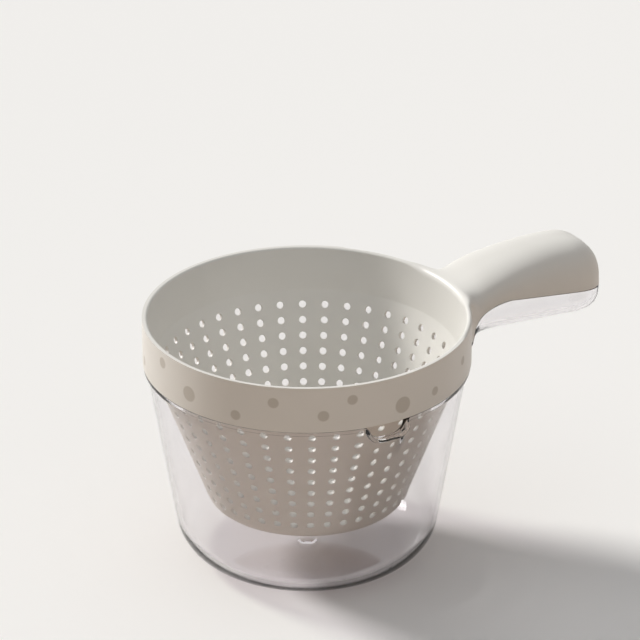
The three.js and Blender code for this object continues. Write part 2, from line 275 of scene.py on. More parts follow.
@dataclass
class HandlePlan:
    """The handle that both mouldings share, seen from above, and the heights along it."""

    band_radius: float = 82.0
    half_width: float = 21.5
    reach: float = 165.7
    tip: float = 22.0
    fillet: float = 18.0
    squareness: float = 2.6
    rim_height: float = 129.5
    crest: float = 10.8
    crest_reach: float = 139.0
    arch_start: float = -2.0
    arch_end: float = 12.0
    seat: float = 105.35
    band_edge: float = 105.5
    root_drop: float = 2.2
    tip_drop: float = 4.6
    parting_run: float = 24.0
    parting_rise: float = 16.2
    parting_tip_rise: float = 9.5
    crown_room: float = 1.2
    keel_room: float = 1.4
    least_rounding: float = 1.0
    blend_start: float = 0.15
    blend_end: float = 1.1
    blend_power: float = 1.4
    step: float = 1.5
    tip_points: int = 1200
    side_points: int = 300
    thinning: int = 6
    band_points: int = 60
    band_overlap: float = 0.4

    def __post_init__(self) -> None:
        """Lays out even columns along the outline, and a thinner outline for measuring distances."""
        centre_y = self.half_width + self.fillet
        centre_x = math.sqrt((self.band_radius + self.fillet) ** 2 - centre_y ** 2)
        self.fillet_centre = np.array([centre_x, centre_y])
        self.tip_start = self.reach - self.tip
        self.foot_angle = math.atan2(centre_y, centre_x)
        self.fillet_turn = RIGHT_ANGLE - self.foot_angle
        self.fillet_length = self.fillet * self.fillet_turn
        line = self.trace()
        along = run_length(line)
        even = np.linspace(0, along[-1], int(round(along[-1] / self.step)) + 1)
        half = np.stack([np.interp(even, along, line[:, axis]) for axis in (0, 1)], axis=1)
        half[0] = (self.reach, 0.0)
        run = np.gradient(half, axis=0)
        run[0] = (0.0, 1.0)
        normal = np.stack([run[:, 1], -run[:, 0]], axis=1)
        normal /= np.linalg.norm(normal, axis=1, keepdims=True)
        fillet_start = along[-1] - self.fillet_length
        start_angle = math.atan2(self.half_width, centre_x)
        seen = np.arctan2(half[:, 1], half[:, 0])
        self.plan = mirrored(half, MIRROR)
        self.normal = mirrored(normal, MIRROR)
        self.weight = mirrored(1 - smoothstep(even, fillet_start, along[-1]))
        self.angle = mirrored(np.where(even < fillet_start, start_angle * even / fillet_start, seen), -1.0)
        reach = np.linspace(self.foot_angle, self.foot_angle + self.band_overlap, self.band_points)[1:]
        thin = np.concatenate([line[::self.thinning], line[-1:], polar(reach, self.band_radius)])
        away = np.concatenate([along[-1] - along[::self.thinning], np.zeros(len(reach) + 1)])
        self.outline = mirrored(thin, MIRROR)
        self.away = mirrored(away)

    def trace(self) -> Array:
        """Traces half of the outline closely: the round tip, the straight side and the fillet on the band.

        Returns:
            Its plan points, from the tip to the fillet's foot.
        """
        turn = quarter(self.tip_points)
        power = 2 / self.squareness
        tip_x = self.tip_start + self.tip * np.cos(turn) ** power
        side_x = np.linspace(self.tip_start, self.fillet_centre[0], self.side_points)[1:]
        swing = np.linspace(0, self.fillet_turn, self.side_points)[1:]
        return np.concatenate([
            np.stack([tip_x, self.half_width * np.sin(turn) ** power], axis=1),
            np.stack([side_x, np.full_like(side_x, self.half_width)], axis=1),
            self.fillet_centre - self.fillet * np.stack([np.sin(swing), np.cos(swing)], axis=1),
        ])

    def nearest(self, plan: Array) -> tuple[Array, Array, Array]:
        """Finds the outline's nearest spots to plan points.

        Args:
            plan: The points.

        Returns:
            The distance to the outline, how far along it from the fillet's foot the spot lies, and its x.
        """
        start, run = self.outline[:-1], np.diff(self.outline, axis=0)
        length = np.maximum(np.sum(run * run, axis=1), TINY)
        best = np.full(len(plan), np.inf)
        away, x = np.zeros(len(plan)), np.zeros(len(plan))
        for i in range(len(run)):
            share = np.clip((plan - start[i]) @ run[i] / length[i], 0.0, 1.0)
            gap = plan - start[i] - share[:, None] * run[i]
            square = np.sum(gap * gap, axis=1)
            closer = square < best
            best = np.where(closer, square, best)
            away = np.where(closer, mix(self.away[i], self.away[i + 1], share), away)
            x = np.where(closer, start[i, 0] + share * run[i, 0], x)
        return np.sqrt(best), away, x

    def rounding(self, away: Array, least: float) -> tuple[Array, Array]:
        """The shape of the rounded shoulder, which grows from the band to the handle.

        Args:
            away: Distance along the outline from the fillet's foot.
            least: Width of the shoulder on the band.

        Returns:
            Its width and its exponent.
        """
        share = smoothstep(away, self.blend_start * self.fillet_length, self.blend_end * self.fillet_length)
        share = share ** self.blend_power
        return mix(least, self.half_width, share), mix(ELLIPSE, self.squareness, share)

    def crown(self, plan: Array, least: float, wall: float = 0.0) -> Array:
        """The upper surface of band and handle.

        Args:
            plan: Where it is wanted.
            least: Width of the rounded shoulder on the band.
            wall: Depth below the surface, for the shell's inside.

        Returns:
            The heights.
        """
        gap, away, x = self.nearest(plan)
        width, squareness = self.rounding(away, least)
        drop = np.minimum(width, self.top(x) - self.parting(x) - self.crown_room)
        inside = np.maximum(width - wall, self.least_rounding)
        fall = shoulder(np.maximum(gap - wall, 0.0), inside, squareness)
        drop = np.minimum(drop, np.maximum(drop - wall, self.least_rounding))
        return self.top(plan[:, 0]) - wall - drop * fall

    def keel(self, plan: Array, least: float, wall: float = 0.0) -> Array:
        """The lower surface of the handle, rounded up towards its outline.

        Args:
            plan: Where it is wanted.
            least: Width of the rounding at the bowl's flange.
            wall: Height above the surface, for the shell's inside.

        Returns:
            The heights.
        """
        gap, away, x = self.nearest(plan)
        width, squareness = self.rounding(away, least)
        room = self.parting(x) - self.underside(x) - self.keel_room
        rise = np.maximum(np.minimum(width, room), least)
        inside = np.maximum(width - wall, least)
        lift = shoulder(np.maximum(gap - wall, 0.0), inside, squareness)
        return self.underside(plan[:, 0]) + wall + np.maximum(rise - wall, 0.0 if wall else least) * lift

    def top(self, x: Array) -> Array:
        """The handle's top, an arch that leaves the lip softly.

        Args:
            x: Where along the handle.

        Returns:
            The heights.
        """
        share = (self.crest_reach - x) / (self.crest_reach - self.band_radius)
        arch = self.crest * (1 - np.minimum(share * share, 1.0))
        start, end = self.band_radius + self.arch_start, self.band_radius + self.arch_end
        return self.rim_height + arch * smoothstep(x, start, end)

    def underside(self, x: Array) -> Array:
        """Returns the height of the handle's underside, which falls towards the tip."""
        share = np.maximum(x - self.band_radius, 0.0) / (self.tip_start - self.band_radius)
        return self.seat - mix(self.root_drop, self.tip_drop, share)

    def parting(self, x: Array) -> Array:
        """The lower edge of the upper shell.

        Args:
            x: Where along the handle.

        Returns:
            The heights.
        """
        peak = self.band_radius + self.parting_run
        back = np.clip((peak - x) / self.parting_run, 0.0, 1.0)
        rising = self.parting_rise * np.sqrt(1 - back * back)
        fall = (self.parting_rise - self.parting_tip_rise) / (self.reach - peak)
        return self.band_edge + np.where(x < peak, rising, self.parting_rise - fall * (x - peak))

    def columns(self, segments: int) -> tuple[Array, Array, Array]:
        """Columns all round the band, close together along the handle.

        Args:
            segments: How many columns a plain ring would have.

        Returns:
            Plan points on the outline, outward normals, and angles at the lip.
        """
        free = TURN - 2 * self.foot_angle
        count = int(round(segments * free / TURN))
        angle = self.foot_angle + free * np.arange(1, count) / count
        round_part = polar(angle, 1.0)
        return (
            np.concatenate([self.plan, round_part * self.band_radius]),
            np.concatenate([self.normal, round_part]),
            np.concatenate([self.angle, angle]),
        )


@dataclass
class Colander:
    """The white moulding: band with its lip, perforated basket and upper handle shell."""

    handle: HandlePlan
    lip_thickness: float = 2.8
    handle_roll: float = 4.0
    roll_fade: float = 0.55
    band_wall: float = 2.2
    hollow_start: float = 0.2
    hollow_least: float = 0.3
    groove_height: float = 9.0
    groove_crown: float = 0.5
    crease_height: float = 2.0
    crease_share: float = 0.97
    crease_brink: float = 0.5
    basket_mouth: float = 77.265
    basket_lean: float = math.radians(20.5)
    basket_wall: float = 2.0
    basket_depth: float = 76.0
    basket_corner: float = 9.0
    hole_diameter: float = 3.7
    hole_rim: float = 0.25
    hole_profile: tuple[Span, ...] = ((1.0, 1.0), (0.25, 0.86), (0.0, 0.6))
    hole_columns: int = 40
    hole_rows: int = 9
    first_row: float = 6.0
    row_pitch: float = 8.0
    floor_ring_pitch: float = 14.0
    floor_ring_gap: float = 1.0
    floor_ring_holes: int = 8
    floor_rings: int = 2
    edge: float = 0.3
    edge_bow: float = 0.13
    edge_rows: int = 4
    hole_points: int = 16
    shoulder_rows: int = 24
    roll_rows: int = 8
    wall_rows: int = 6
    hollow_rows: int = 5
    corner_rows: int = 6

    def build(self) -> Object:
        """Makes the whole moulding as one closed mesh.

        Returns:
            The new object.
        """
        self.skin = Skin()
        self.segments = self.hole_columns * self.hole_points // 4
        self.round = round_about(self.segments)
        self.crease = self.handle.band_edge + self.crease_height
        crease_ring, crease_angle, foot, foot_angle = self.band()
        inner_top = self.cone_ring(self.slant_at(self.crease, WallSide.INSIDE), WallSide.INSIDE)
        self.skin.lace(crease_ring, crease_angle, inner_top, self.round)
        outer_top = self.groove(foot, foot_angle)
        self.basket_face(inner_top, WallSide.INSIDE)
        self.basket_face(outer_top, WallSide.OUTSIDE)
        return self.skin.build("colander_shell")

    def wall_radius(self, height: Array) -> Array:
        """The band's inner wall.

        Args:
            height: Where it is wanted, above the crease.

        Returns:
            The radii.
        """
        low = self.cone(self.slant_at(self.crease, WallSide.INSIDE), WallSide.INSIDE)[0]
        high = self.handle.band_radius - self.lip_thickness
        lip_foot = self.handle.rim_height - self.lip_thickness / 2
        return mix(low, high, (height - self.crease) / (lip_foot - self.crease))

    def band(self) -> tuple[Array, Array, Array, Array]:
        """Makes the outside of band and handle, the lip, and the inner wall down to the crease.

        Returns:
            The lowest ring of the inner wall with its angles, and the ring of the lower edge with its angles.
        """
        skin, handle = self.skin, self.handle
        plan, normal, angle = handle.columns(self.segments)
        least = self.lip_thickness / 2
        aside = np.abs(np.mod(angle + math.pi, TURN) - math.pi)
        near = 1 - smoothstep(aside, self.roll_fade * handle.foot_angle, handle.foot_angle)
        roll = mix(least, self.handle_roll, near)
        path = polar(angle, self.wall_radius(handle.rim_height - roll)) - plan
        depth = np.linalg.norm(path, axis=1)
        low = handle.parting(plan[:, 0])
        side_top = handle.crown(plan, least)
        rows = []
        for turn in quarter(self.edge_rows):
            inwards = self.edge * (1 - math.sin(turn))
            rows.append(skin.ring(plan - inwards * normal, low + self.edge * (1 - math.cos(turn))))
        for share in steps_between(self.wall_rows):
            rows.append(skin.ring(plan, mix(low + self.edge, side_top, share)))
        for turn in quarter(self.shoulder_rows):
            spot = plan + path * ((depth - roll) * (1 - math.cos(turn)) / depth)[:, None]
            rows.append(skin.ring(spot, handle.crown(spot, least)))
        for turn in quarter(self.roll_rows)[1:]:
            spot = plan + path * ((depth - roll * (1 - math.sin(turn))) / depth)[:, None]
            height = handle.crown(spot, least) - roll * (1 - math.cos(turn))
            rows.append(skin.ring(spot, height))
        for share in (*steps_between(self.wall_rows), self.crease_share):
            level = mix(height, self.crease, share)
            rows.append(skin.circle(angle, self.wall_radius(level), level))
        skin.stack(rows)
        foot, foot_angle = self.hollow(rows[0], plan, normal, angle)
        return rows[-1], angle, foot, foot_angle

    def hollow(self, edge_ring: Array, plan: Array, normal: Array,
               angle: Array) -> tuple[Array, Array]:
        """Makes the hollow under the handle shell, between its walls and the band's skirt.

        Args:
            edge_ring: The ring along the lower edge, outside.
            plan: Plan points of the columns.
            normal: Their outward normals.
            angle: Their angles at the lip.

        Returns:
            The ring along the band's lower edge, outside, with its angles.
        """
        skin, handle = self.skin, self.handle
        inner = plan - self.band_wall * normal
        clear = np.hypot(inner[:, 0], inner[:, 1]) > handle.band_radius + self.hollow_start
        first, last = np.flatnonzero(clear)[[0, -1]]
        part = slice(first, last + 1)
        inner = inner[part]
        ends = np.arctan2(inner[[0, -1], 1], inner[[0, -1], 0])
        share = (angle[part] - angle[first]) / (angle[last] - angle[first])
        skirt_angle = mix(ends[0], ends[1], share)
        skirt = polar(skirt_angle, handle.band_radius)
        inner[0], inner[-1] = skirt[0], skirt[-1]
        path = skirt - inner
        least = self.lip_thickness / 2
        low = handle.parting(plan[part, 0])
        roof = np.maximum(handle.crown(inner, least, self.band_wall), low + self.hollow_least)
        rows = []
        for share in np.linspace(0, 1, self.hollow_rows):
            rows.append(skin.ring(inner, mix(low, roof, share)))
        for turn in quarter(self.shoulder_rows // 2)[1:]:
            spot = inner + path * (1 - math.cos(turn))
            height = np.maximum(handle.crown(spot, least, self.band_wall), low + self.hollow_least)
            height[0], height[-1] = roof[0], roof[-1]
            rows.append(skin.ring(spot, height))
        for share in np.linspace(0, 1, self.hollow_rows)[1:]:
            rows.append(skin.ring(skirt, mix(height, handle.band_edge, share)))
        skin.stack(rows, closed=False)
        skin.bridge(edge_ring[part], rows[0], closed=False)
        outside = np.arctan2(plan[:, 1], plan[:, 0])
        ring = np.concatenate([edge_ring[:first + 1], rows[-1], edge_ring[last:]])
        ring_angle = np.concatenate([outside[:first + 1], skirt_angle, outside[last:]])
        return ring, ring_angle

    def groove(self, foot: Array, foot_angle: Array) -> Array:
        """Makes the underside of the band: its lower edge, the skirt's inner face and the groove.

        Args:
            foot: The ring along the lower edge, outside.
            foot_angle: Its angles.

        Returns:
            The ring where the groove meets the basket's outside.
        """
        skin, low = self.skin, self.handle.band_edge
        inside = self.handle.band_radius - self.band_wall
        top = low + self.groove_height
        basket_side = self.wall_radius(top) + self.basket_wall
        bow = self.edge_bow * self.edge
        profile = [
            (inside + self.edge, low),
            (inside + bow, low + bow),
            (inside, low + self.edge),
            (inside, top - self.groove_crown),
            ((inside + basket_side) / 2, top),
            (basket_side, top - self.groove_crown),
        ]
        rows = [skin.circle(self.round, radius, height) for radius, height in profile]
        outer_top = self.cone_ring(self.slant_at(self.crease, WallSide.OUTSIDE), WallSide.OUTSIDE)
        skin.lace(foot, foot_angle, rows[0], self.round)
        skin.stack([*rows, outer_top])
        return outer_top

    def slant_at(self, height: float, side: WallSide) -> float:
        """Returns the distance down the wall at which a face of it lies at a height."""
        lift = side.value * self.basket_wall / 2 * math.sin(self.basket_lean)
        return (self.handle.band_edge - height - lift) / math.cos(self.basket_lean)

    def cone(self, slant: Array, side: WallSide, depth: float = 1.0) -> tuple[Array, Array]:
        """A place on the basket's wall.

        Args:
            slant: Distance down the wall from the height of the band's lower edge.
            side: The face of the wall.
            depth: Share of half the wall's thickness, away from its middle surface.

        Returns:
            The radius and the height.
        """
        level, lean = math.cos(self.basket_lean), math.sin(self.basket_lean)
        offset = side.value * depth * self.basket_wall / 2
        middle = self.basket_mouth - self.basket_wall / 2 / level
        return middle - slant * lean + offset * level, self.handle.band_edge - slant * level - offset * lean

    def cone_ring(self, slant: float, side: WallSide) -> Array:
        """Adds one plain ring on a face of the wall and returns its indices."""
        return self.skin.circle(self.round, *self.cone(slant, side))

    def basket_face(self, top_ring: Array, side: WallSide) -> None:
        """Makes one face of the basket, from its top to the middle of its floor, with the holes in it.

        Args:
            top_ring: The ring at the top of that face.
            side: The face of the wall. The outside also gets the walls of the holes.
        """
        skin = self.skin
        first = self.first_row - self.row_pitch / 2
        last = first + self.row_pitch * self.hole_rows
        brink = self.cone_ring(self.slant_at(self.crease - self.crease_brink, side), side)
        skin.stack([top_ring, brink, self.cone_ring(first, side)])
        for row in range(self.hole_rows):
            for angle in round_about(self.hole_columns):
                self.wall_hole(self.first_row + self.row_pitch * row, angle, side)
        half = self.basket_wall / 2
        floor = self.handle.band_edge - self.basket_depth + half
        corner = self.basket_corner - half
        centre_height = floor + corner
        level = math.cos(self.basket_lean)
        middle, _ = self.cone((self.handle.band_edge - centre_height) / level, side, 0.0)
        centre_radius = middle - corner / level
        size = corner + side.value * half
        rows = [self.cone_ring(last, side)]
        for turn in np.linspace(self.basket_lean, RIGHT_ANGLE, self.corner_rows + 1):
            radius = centre_radius + size * math.cos(turn)
            rows.append(skin.circle(self.round, radius, centre_height - size * math.sin(turn)))
        skin.stack(rows)
        self.floor_face(rows[-1], floor - side.value * half, side)

    def square(self) -> tuple[Array, Array, Array]:
        """The outline of a hole's square cell, with as many points as the hole has.

        Returns:
            Its points from -1 to 1 across and along, and the angles of the hole's points.
        """
        turn = round_about(self.hole_points)
        reach = np.maximum(np.abs(np.cos(turn)), np.abs(np.sin(turn)))
        steps = self.hole_points // 4 / 2
        across, along = (np.round(part(turn) / reach * steps) / steps for part in (np.cos, np.sin))
        return across, along, turn

    def hole_rings(self, side: WallSide) -> list[tuple[WallSide, float, float]]:
        """The rings of a hole that belong to one face of the wall.

        Args:
            side: The face. The outside has the hole's whole wall, through to the inside.

        Returns:
            For each ring the face that it is measured from, its radius and its depth.
        """
        radius = self.hole_diameter / 2
        rings = [(radius + share * self.hole_rim, depth) for share, depth in self.hole_profile]
        if side is WallSide.INSIDE:
            return [(side, *rings[0])]
        inside = [(WallSide.INSIDE, *ring) for ring in reversed(rings)]
        return [(side, *ring) for ring in rings] + inside

    def wall_hole(self, slant: float, angle: float, side: WallSide) -> None:
        """Makes one cell of the basket's wall with a hole in it.

        Args:
            slant: Distance of the hole's middle down the wall.
            angle: Angle of the hole's middle.
            side: The face of the wall.
        """
        across, along, turn = self.square()
        cell = self.cone(slant + along * self.row_pitch / 2, side)
        rows = [self.skin.circle(angle + across * math.pi / self.hole_columns, *cell)]
        for face, size, depth in self.hole_rings(side):
            spot = slant + size * np.sin(turn)
            middle, _ = self.cone(spot, face, 0.0)
            rows.append(self.skin.circle(angle + size * np.cos(turn) / middle, *self.cone(spot, face, depth)))
        self.skin.stack(rows)

    def floor_face(self, rim: Array, height: float, side: WallSide) -> None:
        """Makes one face of the basket's floor.

        Args:
            rim: The ring where the floor ends in the rounded corner.
            height: Height of that face.
            side: The face of the floor.
        """
        skin = self.skin
        before, before_angle = rim, self.round
        half = self.floor_ring_pitch / 2 - self.floor_ring_gap
        for ring in range(self.floor_rings, 0, -1):
            middle = self.floor_ring_pitch * ring
            count = self.floor_ring_holes * ring
            angle = round_about(count * self.hole_points // 4)
            skin.lace(before, before_angle, skin.circle(angle, middle + half, height), angle)
            for spot in round_about(count):
                self.floor_hole(middle, spot, math.pi / count, half, height, side)
            before, before_angle = skin.circle(angle, middle - half, height), angle
        skin.fan(before, height)

    def floor_hole(self, middle: float, angle: float, reach: float, half: float, height: float,
                   side: WallSide) -> None:
        """Makes one cell of the basket's floor with a hole in it.

        Args:
            middle: Distance of the hole's middle from the axis.
            angle: Angle of the hole's middle.
            reach: Half of the cell's angle.
            half: Half of the cell's depth towards the axis.
            height: Height of the face.
            side: The face of the floor.
        """
        across, along, turn = self.square()
        rows = [self.skin.circle(angle + across * reach, middle + along * half, height)]
        thickness = self.basket_wall / 2
        core = height + side.value * thickness
        level, lean = math.cos(angle), math.sin(angle)
        for face, size, depth in self.hole_rings(side):
            out, aside = middle + size * np.sin(turn), size * np.cos(turn)
            plan = np.stack([out * level - aside * lean, out * lean + aside * level], axis=1)
            rows.append(self.skin.ring(plan, core - face.value * depth * thickness))
        self.skin.stack(rows)


@dataclass
class ClearBowl:
    """The clear moulding: bowl with its flange and pouring notch, and the lower handle shell."""

    handle: HandlePlan
    gap: float = 0.15
    flange_inset: float = 0.4
    flange_width: float = 1.0
    flange_height: float = 2.2
    flange_root: float = 0.3
    flange_clearance: float = 0.4
    flange_rounding: float = 0.34
    lean: float = math.radians(9.5)
    wall: float = 2.5
    wall_spacing: float = 1.5
    base: float = 3.5
    base_span: Span = (0.2, 0.97)
    corner: float = 23.0
    pip_diameter: float = 10.0
    pip_height: float = 0.8
    pip_profile: tuple[Span, ...] = ((0.62, 1.0), (0.84, 0.86), (0.95, 0.45), (1.05, 0.12), (1.2, 0.0))
    shell_wall: float = 2.2
    shell_wall_share: float = 0.5
    shell_seat: Span = (0.8, 1.0)
    spout_width: float = 20.0
    spout_depth: float = 6.5
    spout_corner: float = 6.0
    spout_shoulder: float = 3.6
    spout_angle: float = 1.5 * math.pi
    spout_reach: float = 2.5
    spout_lip: Span = (8.0, 13.5)
    spout_hollow: float = 1.5
    spout_hollow_width: Span = (2.0, 17.0)
    spout_hollow_fade: float = 34.0
    spout_fade: float = 26.0
    spout_edge: float = 1.25
    spout_margin: float = 4.0
    edge: float = 0.3
    segments: int = 160
    spout_columns: int = 36
    spout_points: int = 40
    base_rows: int = 6
    wall_rows: int = 14
    corner_rows: int = 12
    under_rows: int = 22
    side_rows: int = 4
    edge_rows: int = 6
    floor_rows: int = 18
    lip_rows: int = 5

    def build(self) -> Object:
        """Makes the whole moulding as one closed mesh.

        Returns:
            The new object.
        """
        self.skin = Skin()
        self.flange = self.handle.band_radius - self.flange_inset
        self.spout_end = self.spout_width / 2 + self.spout_shoulder + self.spout_margin
        self.columns()
        self.notch_line()
        outer = self.bowl_face(0.0, self.corner, 0.0)
        inner = self.bowl_face(self.wall, self.corner - self.wall, self.base)
        rim = self.rim()
        self.skin.stack([*outer, *rim, *reversed(inner)])
        self.skin.fan(outer[0], 0.0)
        self.skin.fan(inner[0], self.base + self.pip_height)
        return self.skin.build("clear_bowl_shell")

    def between(self, start: float, end: float) -> Array:
        """Returns evenly spaced angles between two others, without those two."""
        count = int(round((end - start) / (TURN / self.segments)))
        return start + (end - start) * np.arange(1, count) / count

    @staticmethod
    def near_spout(offset: Array, span: Span) -> Array:
        """Returns 1 in the notch's middle and 0 away from it, with an even slope over a span of distances."""
        return np.where(np.isnan(offset), 0.0, 1 - smoothstep(np.abs(np.nan_to_num(offset)), *span))

    def columns(self) -> None:
        """Lays out the columns: along the handle, round the notch and evenly between them."""
        handle, spout = self.handle, self.spout_angle
        span = self.spout_end / self.flange
        loose = np.concatenate([
            self.between(handle.foot_angle, spout - span),
            spout + np.linspace(-span, span, self.spout_columns),
            self.between(spout + span, TURN - handle.foot_angle),
        ])
        round_part = polar(loose, 1.0)
        aside = loose - spout
        offset = np.where(np.abs(aside) <= span + SLACK, aside * self.flange, np.nan)
        stand_out = self.near_spout(offset, self.spout_lip)
        grip = handle.plan - (self.flange_inset * (1 - handle.weight))[:, None] * handle.normal
        on_grip = np.zeros(len(handle.angle))
        outwards = self.flange + self.spout_reach * stand_out
        bulge = self.spout_hollow * self.near_spout(offset, self.spout_hollow_width)
        self.plan = np.concatenate([grip, round_part * outwards[:, None]])
        self.normal = np.concatenate([handle.normal, round_part])
        self.angle = np.concatenate([handle.angle, loose])
        self.offset = np.concatenate([on_grip + np.nan, offset])
        self.on_handle = np.arange(len(self.angle)) < len(handle.angle)
        self.bulge = np.concatenate([on_grip, bulge])
        self.soft = np.concatenate([on_grip + self.edge, mix(self.edge, self.spout_edge, stand_out)])

    @staticmethod
    def level_line(across: Array, height: float) -> Array:
        """Returns a level part of the notch's edge: places across, heights, and the direction downwards."""
        flat = np.zeros_like(across)
        return np.stack([across, flat + height, flat, flat - 1], axis=1)

    def notch_line(self) -> None:
        """Traces the notch's edge for its columns, and the direction into the wall at each of them."""
        top, deep = self.handle.seat, self.spout_depth
        large, small = self.spout_corner, self.spout_shoulder
        swing = math.acos(1 - deep / (large + small))
        flat = self.spout_width / 2 - large * math.sin(swing)
        far = flat + (large + small) * math.sin(swing)
        turn = np.linspace(0, swing, self.spout_points)
        level, lean = np.cos(turn), np.sin(turn)
        straight = np.linspace(0, 1, self.spout_points // 2)
        line = np.concatenate([
            self.level_line(flat * straight, top - deep),
            np.stack([flat + large * lean, top - deep + large * (1 - level), lean, -level], axis=1)[1:],
            np.stack([far - small * lean, top - small * (1 - level), lean, -level], axis=1)[-2::-1],
            self.level_line(mix(far, self.spout_end, straight), top)[1:],
        ])
        along = run_length(line[:, :2])
        inside = ~np.isnan(self.offset)
        share = np.abs(self.offset[inside]) / self.spout_end * along[-1]
        side = np.sign(self.offset[inside])
        values = [np.interp(share, along, line[:, i]) for i in range(4)]
        self.notch_columns = np.flatnonzero(inside)
        self.notch_edge = np.stack([side * values[0], values[1]], axis=1)
        self.notch_inward = np.stack([side * values[2], values[3]], axis=1)

    def warp(self, plan: Array, height: Array,
             face: float | None) -> tuple[Array, Array]:
        """Moves the points of the notch's columns from a plain rim onto the notch.

        Args:
            plan: Plan points of one row.
            height: Their heights.
            face: Depth of the wall's face that the row lies on, or None on the rim.

        Returns:
            The moved plan points and heights.
        """
        at = self.notch_columns
        height = np.broadcast_to(np.asarray(height, dtype=float), (len(plan),)).copy()
        plan = plan.copy()
        depth = self.handle.seat - height[at]
        reach = np.minimum(depth, self.flange_height)
        fade = 1 - smoothstep(depth, self.flange_height, self.flange_height + self.spout_fade)
        target = self.notch_edge + self.notch_inward * reach[:, None]
        move_across = (target[:, 0] - self.offset[at]) * fade
        move_up = (target[:, 1] - (self.handle.seat - reach)) * fade
        radius = np.hypot(plan[at, 0], plan[at, 1])
        height[at] += move_up
        if face is not None:
            radius = self.wall_radius(height[at], face)
        if face:
            radius = radius + self.bulge[at] * (1 - smoothstep(depth, 0.0, self.spout_hollow_fade))
        plan[at] = polar(self.angle[at] + move_across / self.flange, radius)
        return plan, height

    def wall_radius(self, height: Array, face: float) -> Array:
        """Returns the radius of a face of the wall, given by its depth from the outside, at a height."""
        mouth = self.flange - self.flange_width - face / math.cos(self.lean)
        return mouth + (height - self.handle.seat) * math.tan(self.lean)

    def bowl_face(self, face: float, corner: float, floor: float) -> list[Array]:
        """Makes the rows of one face of the bowl, from the middle of its base up to the rim.

        Args:
            face: Depth of that face from the outside of the wall.
            corner: Radius of the rounded corner.
            floor: Height of the base on that face.

        Returns:
            The rows, from the middle upwards.
        """
        skin = self.skin
        centre_height = floor + corner
        centre_radius = self.wall_radius(centre_height, face) - corner / math.cos(self.lean)
        rows = []
        if floor > 0:
            pip = self.pip_diameter / 2
            for radius, rise in self.pip_profile:
                rows.append(skin.circle(self.angle, pip * radius, floor + self.pip_height * rise))
        for radius in np.linspace(*self.base_span, self.base_rows) * centre_radius:
            rows.append(skin.circle(self.angle, radius, floor))
        for turn in np.linspace(RIGHT_ANGLE, self.lean, self.corner_rows + 1):
            radius = centre_radius + corner * math.cos(turn)
            rows.append(skin.circle(self.angle, radius, centre_height - corner * math.sin(turn)))
        start = centre_height - corner * math.sin(self.lean)
        end = self.handle.seat - (self.soft if face else self.flange_height + self.flange_clearance)
        for share in 1 - (1 - np.arange(1, self.wall_rows + 1) / self.wall_rows) ** self.wall_spacing:
            height = mix(start, end, share)
            plan = polar(self.angle, self.wall_radius(height, face))
            rows.append(skin.ring(*self.warp(plan, height, face)))
        return rows

    def rim(self) -> list[Array]:
        """Makes the rows over the rim: under the flange and handle, up their edge, and back over the top.

        Returns:
            The rows, from the outside of the wall to the inside.
        """
        handle, plan, normal, on_handle = self.handle, self.plan, self.normal, self.on_handle
        foot = handle.seat - self.flange_height
        edge_top = np.where(on_handle, handle.parting(plan[:, 0]) - self.gap, handle.seat)
        edge_top = np.maximum(edge_top, handle.seat)
        path = plan - polar(self.angle, self.wall_radius(foot, 0.0) + self.flange_root)
        depth = np.linalg.norm(path, axis=1)
        lower = np.minimum(self.soft, self.flange_rounding * self.flange_height)
        rows = []
        for turn in np.linspace(RIGHT_ANGLE, 0, self.under_rows):
            spot = plan - path * (1 - math.cos(turn))
            flange = foot + lower * shoulder(depth * (1 - math.cos(turn)), lower, ELLIPSE)
            level = np.where(on_handle, handle.keel(spot, self.edge), flange)
            rows.append(self.add(spot, level))
        for share in steps_between(self.side_rows):
            rows.append(self.add(plan, mix(level, edge_top - self.soft, share)))
        for turn in quarter(self.edge_rows):
            spot = plan - (self.soft * (1 - math.cos(turn)))[:, None] * normal
            rows.append(self.add(spot, edge_top - self.soft * (1 - math.sin(turn))))
        mouth = self.wall_radius(handle.seat, self.wall) + self.bulge
        end = polar(self.angle, mouth + self.soft)
        back = np.linalg.norm(plan - end, axis=1)
        inner = plan - np.minimum(self.shell_wall, self.shell_wall_share * back)[:, None] * normal
        path = end - inner
        deep = np.minimum(handle.keel(inner, self.edge, self.shell_wall), edge_top)
        deep = np.where(on_handle, deep, handle.seat)
        for share in np.linspace(0, 1, self.side_rows):
            rows.append(self.add(inner, mix(edge_top, deep, share)))
        for turn in quarter(self.floor_rows)[1:]:
            share = 1 - math.cos(turn)
            spot = inner + path * share
            floor = np.minimum(handle.keel(spot, self.edge, self.shell_wall), edge_top)
            floor = mix(floor, handle.seat, smoothstep(share, *self.shell_seat))
            rows.append(self.add(spot, np.where(on_handle, floor, handle.seat)))
        for turn in quarter(self.lip_rows)[1:-1]:
            spot = polar(self.angle, mouth + self.soft * (1 - math.sin(turn)))
            rows.append(self.add(spot, handle.seat - self.soft * (1 - math.cos(turn))))
        return rows

    def add(self, plan: Array, height: Array) -> Array:
        """Adds one row of the rim, set onto the notch, and returns its indices."""
        return self.skin.ring(*self.warp(plan, height, None))


def feed(tree: Tree, socket: Socket, value: object) -> None:
    """Links another socket to a socket, or sets it to a plain value.

    Args:
        tree: The tree that holds them.
        socket: The socket that is fed.
        value: A socket, a number, a vector, or a colour of three parts.
    """
    if isinstance(value, Socket):
        tree.links.new(value, socket)
    elif socket.type == "RGBA":
        socket.default_value = (*value, 1.0)
    else:
        socket.default_value = value


